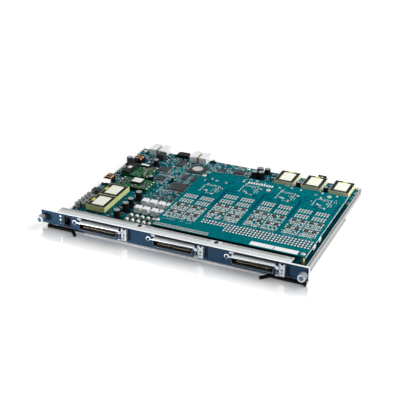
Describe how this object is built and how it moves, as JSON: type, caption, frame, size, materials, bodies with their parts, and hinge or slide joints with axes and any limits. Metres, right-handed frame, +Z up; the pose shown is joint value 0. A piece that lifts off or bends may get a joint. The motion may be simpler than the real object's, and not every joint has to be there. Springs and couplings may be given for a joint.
{
  "type": "switch line card",
  "caption": "Line card of a telecom access switch with a blue front panel, telco sockets with wire bails, thumbscrews, ejector levers, a teal main board and a raised daughter board.",
  "frame": {"origin": "centre of the tray's underside, the face the card lies on", "axes": "+X along the front panel to the right, +Y from the front panel to the backplane edge, +Z up out of the component side"},
  "size_m": [0.43, 0.3342, 0.0269],
  "materials": {
    "panel_blue": "satin",
    "sheet": "satin",
    "spring_metal": "satin",
    "nickel": "polished",
    "steel": "satin",
    "brass": "satin",
    "contact_gold": "polished",
    "copper": "gloss",
    "board_teal": "gloss",
    "board_green": "gloss",
    "black_plastic": "matte",
    "chip_black": "matte",
    "white_plastic": "satin",
    "olive_plastic": "matte",
    "lens": "gloss",
    "ferrite": "matte",
    "tape": "satin",
    "coil_wrap": "matte",
    "can": "satin"
  },
  "bodies": {
    "card": {"front_panel": "panel_blue", "top_flange": "sheet", "emi_gasket": "spring_metal", "base_tray": "sheet", "tray_pillars": "sheet", "main_board": "board_teal", "daughter_board": "board_teal", "standoffs": "brass", "board_screws": "steel", "telco_shell_1": "nickel", "telco_shell_2": "nickel", "telco_shell_3": "nickel", "telco_body_1": "black_plastic", "telco_body_2": "black_plastic", "telco_body_3": "black_plastic", "telco_contacts": "contact_gold", "bail_brackets": "steel", "hood_hooks": "steel", "rj_jack": "black_plastic", "led_pipes": "lens", "led_holder": "black_plastic", "screw_ferrules": "steel", "lever_brackets": "steel", "lever_pins": "steel", "transformer_cores": "ferrite", "transformer_tapes": "tape", "transformer_coils": "coil_wrap", "transformer_bobbins": "black_plastic", "can_capacitors": "can", "line_relays": "white_plastic", "surge_arresters": "white_plastic", "converter_boards": "board_green", "converter_cores": "ferrite", "converter_pins": "brass", "choke_bodies": "black_plastic", "choke_windings": "copper", "terminal_block": "white_plastic", "logic_chips": "chip_black", "switch_chip": "chip_black", "switch_lid": "steel", "backplane_blocks": "white_plastic", "backplane_keys": "olive_plastic", "power_header": "black_plastic", "power_blocks": "chip_black", "line_coils": "ferrite", "riser_tab": "board_teal", "line_chips": "chip_black", "mezzanine_header": "black_plastic", "header_pins": "contact_gold"},
    "left_collar": {"left_screw_collar": "steel"},
    "right_collar": {"right_screw_collar": "steel"},
    "left_screw": {"left_thumbscrew": "nickel"},
    "right_screw": {"right_thumbscrew": "nickel"},
    "left_ejector": {"left_lever": "black_plastic"},
    "right_ejector": {"right_lever": "black_plastic"},
    "bail_1": {"bail_wire_1": "steel"},
    "bail_2": {"bail_wire_2": "steel"},
    "bail_3": {"bail_wire_3": "steel"}
  },
  "joints": [
    {"name": "left_screw_push", "type": "slide", "parent": "card", "child": "left_collar", "axis": [0, 1, 0], "range_m": [0, 0.0045]},
    {"name": "right_screw_push", "type": "slide", "parent": "card", "child": "right_collar", "axis": [0, 1, 0], "range_m": [0, 0.0045]},
    {"name": "left_screw_turn", "type": "hinge", "parent": "left_collar", "child": "left_screw", "pos_m": [-0.211, -0.1499, 0.0162], "axis": [0, 1, 0], "continuous": true},
    {"name": "right_screw_turn", "type": "hinge", "parent": "right_collar", "child": "right_screw", "pos_m": [0.207, -0.1499, 0.0162], "axis": [0, 1, 0], "continuous": true},
    {"name": "left_lever_swing", "type": "hinge", "parent": "card", "child": "left_ejector", "pos_m": [-0.208, -0.146, 0.0022], "axis": [0, 0, 1], "range_deg": [-65, 0]},
    {"name": "right_lever_swing", "type": "hinge", "parent": "card", "child": "right_ejector", "pos_m": [0.204, -0.146, 0.0022], "axis": [0, 0, 1], "range_deg": [0, 65]},
    {"name": "bail_1_swing", "type": "hinge", "parent": "card", "child": "bail_1", "pos_m": [-0.0783, -0.1654, 0.0151], "axis": [0, 0, 1], "range_deg": [0, 110]},
    {"name": "bail_2_swing", "type": "hinge", "parent": "card", "child": "bail_2", "pos_m": [0.0453, -0.1654, 0.0151], "axis": [0, 0, 1], "range_deg": [0, 110]},
    {"name": "bail_3_swing", "type": "hinge", "parent": "card", "child": "bail_3", "pos_m": [0.1689, -0.1654, 0.0151], "axis": [0, 0, 1], "range_deg": [0, 110]}
  ]
}
